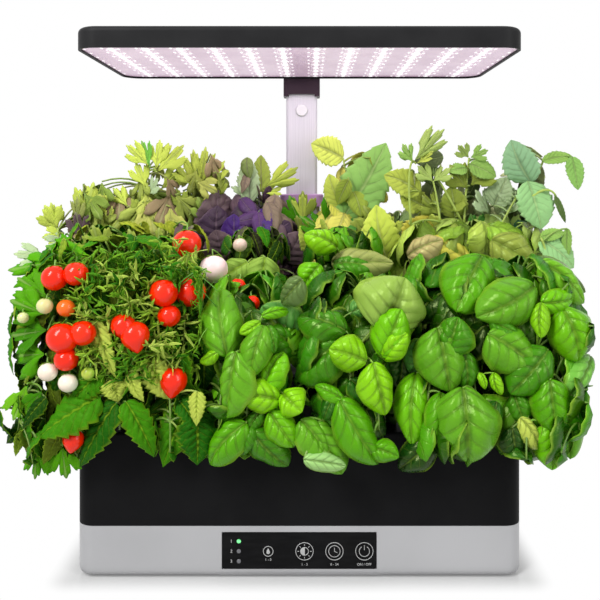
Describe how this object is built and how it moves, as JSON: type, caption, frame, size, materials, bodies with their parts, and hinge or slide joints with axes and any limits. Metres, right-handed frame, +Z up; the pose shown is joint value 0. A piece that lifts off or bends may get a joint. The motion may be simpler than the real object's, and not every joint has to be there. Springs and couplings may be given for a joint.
{
  "type": "countertop hydroponic garden",
  "caption": "Countertop hydroponic garden with silver base, black tank, herbs and tomatoes in grow pods, and an LED lamp hood on a telescopic mast.",
  "frame": {"origin": "on the resting surface, under the middle of the base", "axes": "+X to the right of someone facing the control panel, +Y to the rear where the mast stands, +Z up"},
  "size_m": [0.56, 0.32, 0.494],
  "materials": {
    "silver_plastic": "satin",
    "black_plastic": "matte",
    "panel_gloss": "gloss",
    "green_light": "gloss",
    "grey_light": "gloss",
    "circuit_board": "satin",
    "steel": "satin",
    "socket_plastic": "satin",
    "rubber": "matte",
    "mast_silver": "satin",
    "collar_plastic": "satin",
    "button_white": "gloss",
    "bracket_plastic": "satin",
    "lamp_board_white": "satin",
    "led": "gloss",
    "lens_sheet": "satin",
    "pump_plastic": "satin",
    "impeller_plastic": "satin",
    "float_white": "matte",
    "basket_plastic": "satin",
    "sponge": "matte",
    "tomato_leaves": "matte",
    "parsley_leaves": "matte",
    "purple_leaves": "matte",
    "mint_leaves": "matte",
    "basil_leaves": "satin"
  },
  "bodies": {
    "base": {"base_shell": "silver_plastic", "rubber_feet": "rubber", "base_screws": "steel", "control_panel": "panel_gloss", "power_indicator": "green_light", "status_indicators": "grey_light", "control_board": "circuit_board", "board_screws": "steel", "dc_inlet": "socket_plastic", "tank": "black_plastic", "deck": "black_plastic", "flap_pin": "steel", "mast_outer": "mast_silver", "mast_foot": "socket_plastic", "mast_screws": "steel", "mast_collar": "collar_plastic", "pump_housing": "pump_plastic", "pump_cover": "pump_plastic", "pump_shaft": "steel", "float_stem": "float_white", "float_clip": "socket_plastic", "pod_basket_01": "basket_plastic", "pod_basket_02": "basket_plastic", "pod_basket_03": "basket_plastic", "pod_basket_04": "basket_plastic", "pod_basket_05": "basket_plastic", "pod_basket_06": "basket_plastic", "pod_basket_07": "basket_plastic", "pod_basket_08": "basket_plastic", "pod_basket_09": "basket_plastic", "pod_basket_10": "basket_plastic", "pod_basket_11": "basket_plastic", "pod_basket_12": "basket_plastic", "grow_sponges": "sponge", "tomato_plant_1": "tomato_leaves", "tomato_plant_2": "tomato_leaves", "tomato_plant_3": "tomato_leaves", "parsley_plant": "parsley_leaves", "purple_basil_plant": "purple_leaves", "lemon_balm_plant": "mint_leaves", "mint_plant": "mint_leaves", "basil_plant_1": "basil_leaves", "basil_plant_2": "basil_leaves", "basil_plant_3": "basil_leaves", "basil_plant_4": "basil_leaves", "basil_plant_5": "basil_leaves"},
    "lamp": {"mast_inner": "mast_silver", "mast_shoe": "socket_plastic", "hood_bracket": "bracket_plastic", "button_spring": "steel", "hood_shell": "black_plastic", "lamp_board": "lamp_board_white", "led_chips": "led", "lamp_lens": "lens_sheet", "lamp_screws": "steel"},
    "button": {"release_button": "button_white"},
    "flap": {"fill_flap": "black_plastic"},
    "impeller": {"pump_impeller": "impeller_plastic"},
    "float": {"float_ring": "float_white"}
  },
  "joints": [
    {"name": "lamp_height", "type": "slide", "parent": "base", "child": "lamp", "axis": [0, 0, 1], "range_m": [-0.055, 0.06]},
    {"name": "button_press", "type": "slide", "parent": "lamp", "child": "button", "axis": [0, 1, 0], "range_m": [0, 0.0025], "stiffness_N_per_m": 700, "springref_m": -0.0012, "deforming": ["button_spring"]},
    {"name": "flap_hinge", "type": "hinge", "parent": "base", "child": "flap", "pos_m": [0.1, 0.115, 0.1326], "axis": [-1, 0, 0], "range_deg": [0, 100]},
    {"name": "impeller_spin", "type": "hinge", "parent": "base", "child": "impeller", "pos_m": [-0.062, 0.097, 0.068], "axis": [1, 0, 0], "continuous": true},
    {"name": "float_rise", "type": "slide", "parent": "base", "child": "float", "axis": [0, 0, 1], "range_m": [0, 0.018]}
  ]
}
